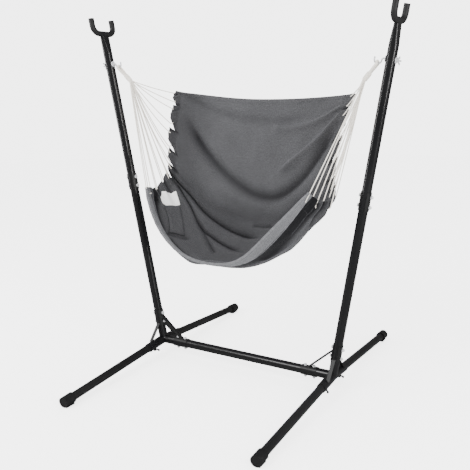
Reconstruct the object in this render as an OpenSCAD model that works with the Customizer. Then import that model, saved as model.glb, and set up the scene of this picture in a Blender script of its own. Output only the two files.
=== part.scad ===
// Hammock chair hung between the two posts of a take-apart steel stand.
// Millimetres. +X runs along the base bar, -Y is the front, +Z is up, the origin is on the floor.

/* [Stand] */
// Distance between the two base hubs, centre to centre
hub_spacing = 880; // [820:10:960]
// Height of the hub centres above the floor
hub_height = 64; // [60:1:70]
// Distance from the front foot ends to the rear foot ends
foot_span = 1200; // [1100:10:1300]
// Outward lean of each post, in degrees
post_lean = 10; // [8:0.5:12]
// Length of each post, from the hub centre to the pinched top
post_len = 1406; // [1380:1:1430]
// Distance along the post from the hub centre to the joint between the lower and the upper post
post_joint = 752; // [700:1:800]

/* [Tubes] */
// Outside diameter of the posts and the base bar
post_od = 38; // [36:0.5:40]
// Outside diameter of the foot tubes
foot_od = 34; // [33:0.5:34]
// Outside diameter of the hub stubs that take the feet
stub_od = 40; // [40:0.5:42]
// Wall thickness of the tubes
wall = 1.5; // [1.2:0.1:2]

/* [Cradles] */
// Diameter of the U-shaped cradle rod
cradle_rod = 24; // [20:1:26]
// Distance between the two prongs of a cradle, centre to centre
cradle_gap = 118; // [100:1:130]
// Height of a cradle, from the centre of its bottom to its tips
cradle_height = 62; // [50:1:70]

/* [Hooks] */
// Distance along the post from the hub centre to the hook bolt
hook_at = 1278; // [1260:1:1290]
// Diameter of the hook rod
hook_rod = 6; // [5:0.5:6]

/* [Hammock] */
// Thickness of the cloth seat
cloth_t = 2; // [1.6:0.1:3]
// Thickness of the folded front hem
hem_t = 11; // [6:0.5:12]
// Diameter of a suspension cord
cord_d = 2.5; // [2:0.1:2.5]

/* [Hidden] */
$fn = 48;

steel = "#26262a";
plastic = "#1a1a1c";
zinc = "#c9ccd0";
cloth_grey = "#66666a";
cord_white = "#efe9de";

hub_x = hub_spacing / 2;
cap_r = 22;
cap_len = 46;
foot_run = norm([foot_span / 2, hub_height - cap_r]);
foot_slope = atan((hub_height - cap_r) / (foot_span / 2));
post_bore = post_od - 2 * wall;
slip = 0.1;
nose_od = post_bore - 2 * slip;
nose_len = 60;
shoulder = 10;
hub_joint = 106;
stub_len = 110;
stub_bore = foot_od + 2 * slip;
foot_start = 36;
blind = 24;
bolt_d = 8;
bolt_hole = 8.3;
bolt_step = 20;
plate_t = 2.5;
plate_half = 36;
plate_r = post_od / 2 + 0.05;
plate_angle = 120;
head_flats = 15;
head_t = 5;
plate_face = plate_r + plate_t + 0.1;
head_top = plate_face + head_t + 0.5;
knob_at = 68;
knob_stud = 8;
knob_bore = 8.1;
pinch_from = 1328;
pinch_thick = 19;
pinch_wide = 44.5;
cradle_z = post_len + 7;
bend_r = 32;
hook_drop = 22;
hook_in = 49;
bowl_r = 14;
shank_r = 8;
washer_t = 1.5;
washer_r = 12;
saddle_x = hub_x + hook_at * sin(post_lean) - hook_in * cos(post_lean) - hook_drop * sin(post_lean);
saddle_z = hub_height + hook_at * cos(post_lean) + hook_in * sin(post_lean) - hook_drop * cos(post_lean);

// Side edge of the cloth, right side, from the back top corner to the front corner
edge_pts = [
    [451, 183, 1202], [436, 140, 1118], [427, 98, 1030], [421, 76, 948], [421, 64, 872],
    [426, 34, 822], [424, -10, 796], [414, -58, 792], [399, -105, 806]
];
// Middle of the cloth as [y, z], from the top hem to the front hem
mid_pts = [
    [150, 1176], [122, 1024], [92, 878], [66, 756], [84, 652],
    [44, 556], [-40, 492], [-130, 500], [-215, 541]
];
// Where the tabs begin and end, as shares of the length of the side edge
tab_ends = [0, 0.087, 0.223, 0.348, 0.46, 0.54, 0.64, 0.76, 0.88, 1];
tabs = len(tab_ends) - 1;
notch = 0.03;
hem_v = 0.947;
patch_gap = 2.5;
// How far the right front corner and the left back corner are pulled out of line with their twins
front_pull = [-10, -12, 32];
back_pull = [-6, 0, 9];
back_power = 1.8;
front_power = 3.6;
sag_power = 2.25;
pocket_corners = [[-0.785, 0.64], [-0.885, 0.775], [-0.61, 0.76], [-0.675, 0.875]];
label_corners = [[-0.865, 0.585], [-0.96, 0.74], [-0.795, 0.63], [-0.895, 0.765]];

// Where the cords meet: the lower face of the whipping
apex = [556, 10, 1252];
whip_len = 35;
whip_r = 10;
eye_r = 5;
// Legs of the eye loop as [distance down from the hook, half the gap between the legs]
eye_path = [[46, 4.9], [30, 7.5], [15, 9.3]];
eye_crown = 9.3;
fan_columns = [2, 3, 4, 4, 3, 2];
fan_pitch = 3.4;
cord_sag = [4, 10, 20, 24, 16, 8, 5, 4, 3];
slack_from = 6;
strand_gap = 1.5;
// Distance between the two cords of a tab, as a share of the tab's length
tab_spread = 0.6;

// ---------- frames ----------

module side(s) {
    mirror([s < 0 ? 1 : 0, 0, 0]) children();
}

// Right post frame: z along the post, x outwards
module on_post(along = 0) {
    translate([hub_x, 0, hub_height]) rotate([0, post_lean, 0]) translate([0, 0, along]) children();
}

// Foot frame: z along the foot from the hub centre, y upwards for the front foot
module on_foot(front) {
    translate([hub_x, 0, hub_height])
        mirror([0, front ? 0 : 1, 0])
            rotate([90 + foot_slope, 0, 0]) children();
}

module tube(od, bore, len) {
    difference() {
        cylinder(d = od, h = len);
        translate([0, 0, -1]) cylinder(d = bore, h = len + 2);
    }
}

module cross_hole(d, len) {
    rotate([0, 90, 0]) cylinder(d = d, h = len, center = true);
}

// ---------- base ----------

module hub_halves() {
    for (front = [true, false])
        intersection() {
            on_foot(front) translate([0, 0, -blind]) cylinder(d = stub_od, h = stub_len + blind);
            translate([0, front ? -stub_len : 0, 0])
                cube([hub_spacing, stub_len, 2 * stub_len]);
        }
}

module hub_part() {
    end_room = 6;
    color(steel) difference() {
        union() {
            hub_halves();
            on_post() cylinder(d = post_od, h = hub_joint);
            translate([hub_x, 0, hub_height]) rotate([0, -90, 0]) cylinder(d = post_od, h = hub_joint);
        }
        for (front = [true, false])
            on_foot(front) {
                translate([0, 0, foot_start - end_room]) cylinder(d = stub_bore, h = stub_len);
                translate([0, 0, knob_at]) rotate([90, 0, 0]) cylinder(d = knob_bore, h = stub_od);
            }
        on_post(blind) cylinder(d = post_bore, h = hub_joint);
        translate([hub_x - blind, 0, hub_height]) rotate([0, -90, 0]) cylinder(d = post_bore, h = hub_joint);
        on_post(hub_joint - bolt_step) cross_hole(bolt_hole, 2 * post_od);
        translate([hub_x - hub_joint + bolt_step, 0, hub_height])
            cylinder(d = bolt_hole, h = 2 * post_od, center = true);
    }
}

module gussets_part() {
    color(steel) for (front = [1, -1])
        difference() {
            gusset(front);
            on_post() cylinder(d = post_od, h = 2 * hub_joint);
            on_foot(front > 0) cylinder(d = stub_od, h = stub_len);
        }
}

// Thin strap from the post down to a foot stub, standing in the plane of the feet
module gusset(front) {
    strap_w = 16;
    strap_t = 3;
    off_centre = 13;
    low = [front * -76, hub_height + 7];
    high = [front * -17, hub_height + 78];
    run = low - high;
    translate([hub_x + off_centre, high[0], high[1]])
        rotate([atan2(run[1], run[0]), 0, 0])
            translate([-strap_w / 2, 0, -strap_t / 2])
                cube([strap_w, norm(run), strap_t]);
}

module foot_part(front) {
    end_gap = 5;
    color(steel) on_foot(front) difference() {
        translate([0, 0, foot_start]) tube(foot_od, foot_od - 2 * wall, foot_run - foot_start - end_gap);
        translate([0, 0, knob_at]) rotate([90, 0, 0]) cylinder(d = knob_bore, h = foot_od);
    }
}

module cap_part(front) {
    pad_w = 26;
    pad_len = 40;
    floor_t = 4;
    dir = front ? -1 : 1;
    color(plastic) difference() {
        union() {
            on_foot(front) translate([0, 0, foot_run - cap_len]) cylinder(r = cap_r, h = cap_len);
            translate([hub_x - pad_w / 2, dir * (foot_span / 2 - cap_len / 2 - 1) - pad_len / 2, 0])
                cube([pad_w, pad_len, cap_r / 2]);
        }
        on_foot(front) translate([0, 0, foot_run - cap_len - 1])
            cylinder(d = stub_bore, h = cap_len + 1 - floor_t);
    }
}

module knob_part(front) {
    seat = stub_od / 2 + 0.3;
    hub_h = 11;
    hub_low_d = 17;
    hub_high_d = 13;
    root = 4;
    root_d = 7;
    arm = 11;
    arm_d = 6;
    arm_up = 6;
    tip_out = 6;
    tip_up = 11;
    tip_d = 10;
    turned = 35;
    sunk = 6;
    color(plastic) on_foot(front) translate([0, 0, knob_at]) rotate([90, 0, 0]) {
        translate([0, 0, foot_od / 2 - sunk]) cylinder(d = knob_stud, h = seat - foot_od / 2 + sunk + 1);
        translate([0, 0, seat]) cylinder(d1 = hub_low_d, d2 = hub_high_d, h = hub_h);
        for (turn = [0, 180])
            rotate([0, 0, turned + turn]) hull() {
                translate([root, 0, seat + arm_up]) sphere(d = root_d, $fn = 16);
                translate([arm, 0, seat + arm_up]) sphere(d = arm_d, $fn = 16);
            }
        for (turn = [0, 180])
            rotate([0, 0, turned + turn]) hull() {
                translate([arm, 0, seat + arm_up]) sphere(d = arm_d, $fn = 16);
                translate([arm + tip_out, 0, seat + tip_up]) sphere(d = tip_d, $fn = 16);
            }
    }
}

module bar_part() {
    reach = hub_x - hub_joint;
    color(steel) translate([0, 0, hub_height]) rotate([0, 90, 0]) difference() {
        union() {
            translate([0, 0, -reach]) cylinder(d = post_od, h = 2 * reach);
            translate([0, 0, -reach - nose_len]) cylinder(d = nose_od, h = 2 * (reach + nose_len));
        }
        translate([0, 0, -reach - nose_len - 1])
            cylinder(d = nose_od - 2 * wall, h = 2 * (reach + nose_len + 1));
        for (s = [1, -1], k = [1, -1])
            translate([0, 0, s * (reach + k * bolt_step)]) cross_hole(bolt_hole, 2 * post_od);
    }
}

// ---------- posts ----------

module lower_post_part() {
    color(steel) on_post() difference() {
        union() {
            translate([0, 0, hub_joint]) cylinder(d = post_od, h = post_joint - hub_joint);
            translate([0, 0, hub_joint - nose_len]) cylinder(d = nose_od, h = nose_len + shoulder);
        }
        translate([0, 0, hub_joint - nose_len - 1])
            cylinder(d = nose_od - 2 * wall, h = nose_len + shoulder + 2);
        translate([0, 0, hub_joint + shoulder]) cylinder(d = post_bore, h = post_joint);
        for (z = [hub_joint - bolt_step, hub_joint + bolt_step, post_joint - bolt_step])
            translate([0, 0, z]) cross_hole(bolt_hole, 2 * post_od);
    }
}

module pinched_end(wide, thick, round_d) {
    hull() {
        cylinder(d = round_d, h = 0.5, $fn = 32);
        for (s = [1, -1])
            translate([0, s * (wide - thick) / 2, post_len - pinch_from - 0.5])
                cylinder(d = thick, h = 0.5, $fn = 32);
    }
}

module upper_post_part() {
    end_wall = 4;
    color(steel) on_post() difference() {
        union() {
            translate([0, 0, post_joint]) cylinder(d = post_od, h = pinch_from - post_joint);
            translate([0, 0, post_joint - nose_len]) cylinder(d = nose_od, h = nose_len + shoulder);
            translate([0, 0, pinch_from]) pinched_end(pinch_wide, pinch_thick, post_od);
        }
        translate([0, 0, post_joint - nose_len - 1])
            cylinder(d = nose_od - 2 * wall, h = nose_len + shoulder + 2);
        translate([0, 0, post_joint + shoulder])
            cylinder(d = post_bore, h = pinch_from - post_joint - shoulder - end_wall);
        for (z = [post_joint - bolt_step, post_joint + bolt_step])
            translate([0, 0, z]) cross_hole(bolt_hole, 2 * post_od);
        translate([0, 0, hook_at]) cross_hole(hook_rod + 0.2, 2 * post_od);
        translate([0, 0, cradle_z]) rotate([90, 0, 0]) cylinder(d = cradle_rod, h = 80, center = true);
    }
}

// U-shaped rod, open upwards, in the plane of the post and Y
module cradle_part() {
    flat = cradle_gap / 2 - bend_r;
    rise = cradle_height - bend_r;
    rim = 2.5;
    mouth = 20;
    color(plastic) on_post(cradle_z) difference() {
        union() {
            rotate([90, 0, 0]) cylinder(d = cradle_rod, h = 2 * flat, center = true);
            for (s = [0, 1]) mirror([0, s, 0]) {
                translate([0, flat, bend_r]) rotate([0, 90, 0])
                    rotate_extrude(angle = 90) translate([bend_r, 0]) circle(d = cradle_rod);
                translate([0, flat + bend_r, bend_r]) cylinder(d = cradle_rod, h = rise);
            }
        }
        for (s = [1, -1])
            translate([0, s * cradle_gap / 2, cradle_height - mouth])
                cylinder(d = cradle_rod - 2 * rim, h = 2 * mouth);
    }
}

// ---------- splices and braces ----------

// Half-round plate against a tube along z, on the +x side, with two bolt holes
module half_plate() {
    difference() {
        rotate([0, 0, -plate_angle / 2]) translate([0, 0, -plate_half])
            rotate_extrude(angle = plate_angle) translate([plate_r, 0]) square([plate_t, 2 * plate_half]);
        for (k = [1, -1])
            translate([post_od / 2, 0, k * bolt_step]) cross_hole(bolt_hole, post_od / 2);
    }
}

module splice_part(outer) {
    color(steel) on_post(post_joint) mirror([outer ? 0 : 1, 0, 0]) half_plate();
}

module post_plate_part() {
    color(steel) on_post(hub_joint) half_plate();
}

module bar_plate_part(over) {
    translate([hub_x - hub_joint, 0, hub_height])
        rotate([0, over ? -90 : 90, 0]) half_plate();
}

module brace_part() {
    strap_w = 20;
    strap_t = 8;
    high_along = hub_joint + 2;
    sunk = 0.5;
    past = 6;
    head_room = 1;
    off = post_od / 2 + plate_t - sunk;
    high = [
        hub_x + high_along * sin(post_lean) - off * cos(post_lean),
        hub_height + high_along * cos(post_lean) + off * sin(post_lean)
    ];
    low = [hub_x - hub_joint, hub_height + off];
    run = high - low;
    color(steel) union() {
        on_post(hub_joint) mirror([1, 0, 0]) half_plate();
        bar_plate_part(true);
        difference() {
            translate([low[0], 0, low[1]]) rotate([0, 90 - atan2(run[1], run[0]), 0])
                translate([0, 0, -past]) linear_extrude(norm(run) + 2 * past) union() {
                    square([strap_t, strap_w - strap_t], center = true);
                    for (s = [1, -1])
                        translate([0, s * (strap_w - strap_t) / 2]) circle(d = strap_t);
                }
            on_post() cylinder(r = plate_r + head_room, h = 2 * hub_joint);
            translate([0, 0, hub_height]) rotate([0, 90, 0]) cylinder(r = plate_r + head_room, h = hub_x);
            for (k = [1, -1]) {
                on_post(hub_joint + k * bolt_step) cross_hole(head_flats + head_room, 2 * head_top);
                translate([low[0] + k * bolt_step, 0, hub_height])
                    cylinder(d = head_flats + head_room, h = head_top);
            }
        }
    }
}

// Bolt along x with its head on the -x side and its thread end on the +x side
module bolt(reach) {
    rotate([0, 90, 0]) {
        translate([0, 0, -reach]) cylinder(d = bolt_d, h = 2 * reach + head_t);
        translate([0, 0, -reach - head_t]) cylinder(d = head_flats, h = head_t, $fn = 6);
    }
}

// Domed nut that closes the thread end of a bolt
module domed_nut(reach) {
    dome_low_d = 12;
    dome_high_d = 7;
    dome_h = 4;
    rotate([0, 90, 0]) translate([0, 0, reach]) difference() {
        union() {
            cylinder(d = head_flats, h = head_t, $fn = 6);
            translate([0, 0, head_t]) cylinder(d1 = dome_low_d, d2 = dome_high_d, h = dome_h);
        }
        translate([0, 0, -1]) cylinder(d = bolt_d + 0.1, h = head_t + 1.5);
    }
}

module on_post_bolts() {
    for (s = [1, -1], joint = [hub_joint, post_joint], k = [1, -1])
        side(s) on_post(joint + k * bolt_step) children();
}

module on_bar_bolts() {
    for (s = [1, -1], k = [1, -1])
        side(s) translate([hub_x - hub_joint + k * bolt_step, 0, hub_height])
            rotate([0, 90, 0]) children();
}

module post_bolts_part() { color(zinc) on_post_bolts() bolt(plate_face); }
module post_nuts_part() { color(zinc) on_post_bolts() domed_nut(plate_face); }
module bar_bolts_part() { color(zinc) on_bar_bolts() bolt(plate_face); }
module bar_nuts_part() { color(zinc) on_bar_bolts() domed_nut(plate_face); }

// ---------- hooks ----------

module arc_rod(r, angle) {
    rotate_extrude(angle = angle) translate([r, 0]) circle(d = hook_rod);
}

// Threaded rod through the post that ends in an upward-open bowl on the inner side
module hook_part() {
    shank_in = hook_in - bowl_r - shank_r;
    shank_out = 38;
    tip = 9;
    color(zinc) on_post(hook_at) {
        translate([-shank_in, 0, 0]) rotate([0, 90, 0]) cylinder(d = hook_rod, h = shank_in + shank_out);
        translate([-shank_in, 0, -shank_r]) rotate([90, 0, 0]) rotate([0, 0, 90]) arc_rod(shank_r, 90);
        translate([-hook_in, 0, -shank_r]) rotate([-90, 0, 0]) arc_rod(bowl_r, 180);
        translate([-hook_in - bowl_r, 0, -shank_r]) cylinder(d = hook_rod, h = tip);
    }
}

module hook_washers_part() {
    seat = post_od / 2 + 0.1;
    color(zinc) for (s = [1, -1], k = [1, -1])
        side(s) on_post(hook_at) rotate([0, 90, 0])
            translate([0, 0, k > 0 ? seat : -seat - washer_t])
                tube(2 * washer_r, hook_rod + 0.3, washer_t);
}

module wing_nut_part() {
    base = post_od / 2 + washer_t + 0.4;
    hub_low_d = 13;
    hub_high_d = 11;
    hub_h = 8;
    turned = 20;
    root = [5, 0, 4];
    tip = [14, 0, 11];
    shoulder_at = [9, 0, 11];
    wing_t = 4;
    tip_d = 5;
    color(zinc) on_post(hook_at) rotate([0, 90, 0]) translate([0, 0, base]) difference() {
        union() {
            cylinder(d1 = hub_low_d, d2 = hub_high_d, h = hub_h);
            for (turn = [0, 180])
                rotate([0, 0, turned + turn]) hull() {
                    translate(root) sphere(d = wing_t, $fn = 16);
                    translate(tip) sphere(d = tip_d, $fn = 16);
                    translate(shoulder_at) sphere(d = wing_t, $fn = 16);
                }
        }
        translate([0, 0, -1]) cylinder(d = hook_rod + 0.1, h = 2 * hub_h + 2);
    }
}

// ---------- cloth ----------

// Point at v, from 0 to 1, on a smooth curve through a list of points
function along(pts, v) =
    let (n = len(pts) - 1, s = min(max(v, 0), 1) * n, i = min(floor(s), n - 1), f = s - i)
    let (b = pts[i], c = pts[i + 1])
    let (a = i > 0 ? pts[i - 1] : 2 * b - c, d = i + 2 <= n ? pts[i + 2] : 2 * c - b)
    0.5 * (2 * b + (c - a) * f + (2 * a - 5 * b + 4 * c - d) * f * f + (3 * b - a - 3 * c + d) * f * f * f);

// Rises smoothly from 0 at a to 1 at b
function ease(x, a, b) = let (t = min(max((x - a) / (b - a), 0), 1)) t * t * (3 - 2 * t);

// Point of the cloth: u from -1 on the left edge to 1 on the right edge, v from the top hem to the front hem
function cloth_at(u, v) =
    let (e = along(edge_pts, v), m = along(mid_pts, v), t = abs(u))
    let (py = back_power + (front_power - back_power) * v)
    [u * e[0], m[0] + (e[1] - m[0]) * pow(t, py), m[1] + (e[2] - m[1]) * pow(t, sag_power)]
        + front_pull * ease(u, 0.3, 1) * ease(v, 0.8, 1)
        + back_pull * ease(-u, -0.1, 0.7) * (1 - ease(v, 0.1, 0.45));

function unit(a) = a / norm(a);

// Outward normal of the cloth, away from the sitter
function cloth_normal(u, v) =
    let (h = 0.01, p = cloth_at(u, v))
    unit(cross(cloth_at(u + h, v) - cloth_at(u - h, v), cloth_at(u, v + h) - cloth_at(u, v - h)));

// Number of the tab that v lies on, from 0, and how far along that tab it lies
function tab_of(v) = max([for (i = [0:tabs - 1]) if (tab_ends[i] <= v) i]);
function tab_share(v) = let (i = tab_of(v)) (v - tab_ends[i]) / (tab_ends[i + 1] - tab_ends[i]);

// Inward reach of the notches between the tabs, as a share of the half width
function notch_at(v) = notch * pow(abs(cos(180 * tab_share(v))), 6) * (v < 0.02 ? 0 : 1);

// Closed sheet between two offsets from the cloth, over the points uv(a, b) with a and b from 0 to 1
module sheet(nu, nv, uv, low, high) {
    pts = [
        for (offset = [low, high], j = [0:nv], i = [0:nu])
            let (p = uv(i / nu, j / nv))
            cloth_at(p[0], p[1]) + offset * cloth_normal(p[0], p[1])
    ];
    w = nu + 1;
    layer = w * (nv + 1);
    near = [for (j = [0:nv - 1], i = [0:nu - 1])
        let (a = j * w + i)
        each [[a, a + 1, a + w], [a + 1, a + w + 1, a + w]]];
    far = [for (f = near) [f[0] + layer, f[2] + layer, f[1] + layer]];
    rim = concat(
        [for (i = [0:nu - 1]) [i + 1, i]],
        [for (i = [0:nu - 1]) [nv * w + i, nv * w + i + 1]],
        [for (j = [0:nv - 1]) [j * w, (j + 1) * w]],
        [for (j = [0:nv - 1]) [(j + 1) * w + nu, j * w + nu]]
    );
    walls = [for (r = rim) each [[r[0], r[1], r[1] + layer], [r[0], r[1] + layer, r[0] + layer]]];
    polyhedron(points = pts, faces = [for (f = concat(near, far, walls)) [f[2], f[1], f[0]]]);
}

// Four-cornered piece on the inner side of the cloth, corners as [u, v]
module patch(corners, steps, thick) {
    gap = cloth_t / 2 + patch_gap;
    uv = function (a, b) (1 - b) * ((1 - a) * corners[0] + a * corners[1])
        + b * ((1 - a) * corners[2] + a * corners[3]);
    sheet(steps, steps, uv, -gap - thick, -gap);
}

module hammock_cloth_part() {
    last_v = hem_v - 0.003;
    uv = function (a, b) [(1 - 2 * a) * (1 - notch_at(last_v * b)), last_v * b];
    color(cloth_grey) sheet(20, 34, uv, -cloth_t / 2, cloth_t / 2);
}

module front_hem_part() {
    uv = function (a, b) [1 - 2 * a, hem_v + (1 - hem_v) * b];
    color(cloth_grey) sheet(28, 3, uv, -hem_t / 2, hem_t / 2);
}

module pocket_part() {
    color(cloth_grey) patch(pocket_corners, 6, 2);
}

module label_part() {
    color("white") patch(label_corners, 4, 1);
}

// ---------- cords ----------

// Tube swept along a route, with rings square to the route
module swept(route, d, sides) {
    n = len(route) - 1;
    ref = [0.3, 0.1, 0.9];
    dirs = [for (i = [0:n]) unit(route[min(i + 1, n)] - route[max(i - 1, 0)])];
    pts = [
        for (i = [0:n], k = [0:sides - 1])
            let (a = unit(cross(dirs[i], ref)), b = cross(dirs[i], a), t = 360 * k / sides)
            route[i] + d / 2 * (a * cos(t) + b * sin(t))
    ];
    walls = [for (i = [0:n - 1], k = [0:sides - 1])
        let (a = i * sides + k, b = i * sides + (k + 1) % sides)
        each [[a, b, a + sides], [b, b + sides, a + sides]]];
    ends = [[for (k = [sides - 1:-1:0]) k], [for (k = [0:sides - 1]) n * sides + k]];
    polyhedron(points = pts, faces = [for (f = concat(walls, ends)) [for (k = [len(f) - 1:-1:0]) f[k]]]);
}

saddle = [saddle_x, 0, saddle_z];
hang = unit(apex - saddle);
across = unit([0, 1, 0] - hang[1] * hang);
beside = cross(hang, across);

module whipping_part() {
    color(cord_white) translate(apex - whip_len * hang)
        rotate([0, acos(hang[2]), atan2(hang[1], hang[0])])
            cylinder(r = whip_r, h = whip_len);
}

// Cord bundle that goes up from the whipping, over the hook rod and back
module eye_loop_part() {
    rising = [for (p = eye_path) saddle + p[0] * hang + p[1] * across];
    falling = [for (i = [len(eye_path) - 1:-1:0]) saddle + eye_path[i][0] * hang - eye_path[i][1] * across];
    over = [for (t = [90, 45, 0, -45, -90]) saddle + eye_crown * [0, sin(t), cos(t)]];
    color(cord_white) swept(concat(rising, over, falling), 2 * eye_r, 10);
}

// Start of strand j in the lower face of the whipping, from the rear column to the front column
function strand_start(j) =
    let (done = [for (c = [0:len(fan_columns)]) sum_to(fan_columns, c)])
    let (c = max([for (i = [0:len(fan_columns) - 1]) if (done[i] <= j) i]))
    let (r = j - done[c], n = fan_columns[c])
    apex + across * fan_pitch * ((len(fan_columns) - 1) / 2 - c) + beside * fan_pitch * (r - (n - 1) / 2);

function sum_to(list, n) = n <= 0 ? 0 : list[n - 1] + sum_to(list, n - 1);

// End of strand j at the edge of its tab on side s, in the right side's frame
function strand_end(j, s) =
    let (tab = floor(j / 2), share = 0.5 + (j % 2 - 0.5) * tab_spread)
    let (v = tab_ends[tab] + share * (tab_ends[tab + 1] - tab_ends[tab]))
    let (edge = cloth_at(s * (1 - notch_at(v)), v), p = [s * edge[0], edge[1], edge[2]])
    p + strand_gap * unit(strand_start(j) - p);

module cord_fan_part(s) {
    color(cord_white) for (j = [0:2 * tabs - 1]) {
        a = strand_start(j);
        b = strand_end(j, s);
        sag = cord_sag[floor(j / 2)];
        steps = sag > slack_from ? 2 : 1;
        swept([for (i = [0:steps]) let (f = i / steps) a + (b - a) * f - [0, 0, 4 * sag * f * (1 - f)]],
            cord_d, 8);
    }
}

bar_part();  // base_bar
side(-1) hub_part();  // left_hub
side(1) hub_part();  // right_hub
side(-1) gussets_part();  // left_gussets
side(1) gussets_part();  // right_gussets
side(-1) foot_part(true);  // left_front_foot
side(-1) foot_part(false);  // left_rear_foot
side(1) foot_part(true);  // right_front_foot
side(1) foot_part(false);  // right_rear_foot
side(-1) cap_part(true);  // left_front_cap
side(-1) cap_part(false);  // left_rear_cap
side(1) cap_part(true);  // right_front_cap
side(1) cap_part(false);  // right_rear_cap
side(-1) knob_part(true);  // left_front_knob
side(-1) knob_part(false);  // left_rear_knob
side(1) knob_part(true);  // right_front_knob
side(1) knob_part(false);  // right_rear_knob
side(-1) lower_post_part();  // left_lower_post
side(1) lower_post_part();  // right_lower_post
side(-1) upper_post_part();  // left_upper_post
side(1) upper_post_part();  // right_upper_post
side(-1) cradle_part();  // left_cradle
side(1) cradle_part();  // right_cradle
side(-1) splice_part(false);  // left_inner_splice
side(-1) splice_part(true);  // left_outer_splice
side(1) splice_part(false);  // right_inner_splice
side(1) splice_part(true);  // right_outer_splice
side(-1) brace_part();  // left_brace
side(1) brace_part();  // right_brace
side(-1) post_plate_part();  // left_post_plate
side(1) post_plate_part();  // right_post_plate
side(-1) color(steel) bar_plate_part(false);  // left_bar_plate
side(1) color(steel) bar_plate_part(false);  // right_bar_plate
post_bolts_part();  // post_bolts
post_nuts_part();  // post_nuts
bar_bolts_part();  // bar_bolts
bar_nuts_part();  // bar_nuts
side(-1) hook_part();  // left_hook
side(1) hook_part();  // right_hook
hook_washers_part();  // hook_washers
side(-1) wing_nut_part();  // left_wing_nut
side(1) wing_nut_part();  // right_wing_nut
hammock_cloth_part();  // hammock_cloth
front_hem_part();  // front_hem
pocket_part();  // seat_pocket
label_part();  // care_label
side(-1) whipping_part();  // left_whipping
side(1) whipping_part();  // right_whipping
side(-1) eye_loop_part();  // left_eye_loop
side(1) eye_loop_part();  // right_eye_loop
side(-1) cord_fan_part(-1);  // left_cord_fan
side(1) cord_fan_part(1);  // right_cord_fan
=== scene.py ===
import math

import bpy
import numpy as np
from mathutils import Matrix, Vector, noise


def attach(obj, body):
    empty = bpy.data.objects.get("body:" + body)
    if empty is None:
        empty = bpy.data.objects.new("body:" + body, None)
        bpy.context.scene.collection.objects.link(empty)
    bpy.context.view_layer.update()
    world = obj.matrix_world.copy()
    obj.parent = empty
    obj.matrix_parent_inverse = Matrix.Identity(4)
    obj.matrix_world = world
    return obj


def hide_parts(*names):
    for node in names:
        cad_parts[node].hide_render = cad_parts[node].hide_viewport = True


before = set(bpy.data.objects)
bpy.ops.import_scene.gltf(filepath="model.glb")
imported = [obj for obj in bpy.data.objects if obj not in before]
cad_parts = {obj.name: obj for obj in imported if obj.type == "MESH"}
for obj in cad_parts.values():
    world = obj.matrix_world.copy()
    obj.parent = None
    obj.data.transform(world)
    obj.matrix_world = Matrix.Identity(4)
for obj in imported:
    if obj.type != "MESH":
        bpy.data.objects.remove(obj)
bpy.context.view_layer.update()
SCENE = bpy.context.scene

# ---------------------------------------------------------------- camera, light and floor

CAMERA_AT = Vector((1.434, -2.151, 1.230))
CAMERA_TURN = 26.226      # degrees round Z
CAMERA_DOWN = 12.103      # degrees below the horizon
CAMERA_LENS = 47.59       # millimetres on a 36 mm sensor
CAMERA_SHIFT = (-0.1774, -0.0332)


def make_camera():
    data = bpy.data.cameras.new("camera")
    data.sensor_width = 36.0
    data.lens = CAMERA_LENS
    data.shift_x, data.shift_y = CAMERA_SHIFT
    data.clip_start, data.clip_end = 0.05, 60.0
    camera = bpy.data.objects.new("camera", data)
    SCENE.collection.objects.link(camera)
    turn, down = math.radians(CAMERA_TURN), math.radians(CAMERA_DOWN)
    back = Vector((math.sin(turn) * math.cos(down), -math.cos(turn) * math.cos(down), math.sin(down)))
    camera.location = CAMERA_AT
    camera.rotation_mode = "QUATERNION"
    camera.rotation_quaternion = (-back).to_track_quat("-Z", "Y")
    SCENE.camera = camera


def area_light(name, at, aim, size, power):
    """White rectangular lamp at one place, turned towards another."""
    data = bpy.data.lights.new(name, "AREA")
    data.shape = "RECTANGLE"
    data.size, data.size_y = size
    data.energy = power
    light = bpy.data.objects.new(name, data)
    SCENE.collection.objects.link(light)
    light.location = at
    light.rotation_mode = "QUATERNION"
    light.rotation_quaternion = (Vector(aim) - Vector(at)).to_track_quat("-Z", "Y")


WALLS, FLAGGED_WALLS = 2.0, 0.20          # brightness of the studio walls, and of black flags for the gloss
BACKDROP = 4.6                            # brightness that the camera sees behind the object
FLOOR_TONE, FLAGGED_FLOOR = 0.90, 0.14    # the floor's grey, and what the gloss sees of it
FLOOR_GLOW = 2.8                          # light that the floor gives to the camera, as a light table does
FLOOR_RADIUS, FLOOR_SIDES = 9.0, 48


def by_ray(tree, ray, others, own):
    """A value that is own for one kind of ray and others for all the rest."""
    mix = tree.nodes.new("ShaderNodeMix")
    tree.links.new(tree.nodes.new("ShaderNodeLightPath").outputs[ray], mix.inputs[0])
    mix.inputs[3].default_value = own
    if isinstance(others, float):
        mix.inputs[2].default_value = others
    else:
        tree.links.new(others, mix.inputs[2])
    return mix.outputs[0]


def make_light():
    world = bpy.data.worlds.new("studio")
    SCENE.world = world
    world.use_nodes = True
    tree = world.node_tree
    walls = by_ray(tree, "Is Glossy Ray", WALLS, FLAGGED_WALLS)
    background = tree.nodes["Background"]
    tree.links.new(by_ray(tree, "Is Camera Ray", walls, BACKDROP), background.inputs["Strength"])
    background.inputs["Color"].default_value = (1.0, 1.0, 1.0, 1.0)
    area_light("key", (-1.6, -3.2, 3.6), (0.0, 0.0, 0.7), (1.8, 1.8), 120)
    area_light("right_strip", (3.2, -1.2, 1.7), (0.5, 0.0, 0.8), (0.30, 2.6), 70)
    area_light("left_strip", (-3.0, -1.4, 1.6), (-0.6, 0.0, 0.8), (0.25, 2.6), 45)


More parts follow.
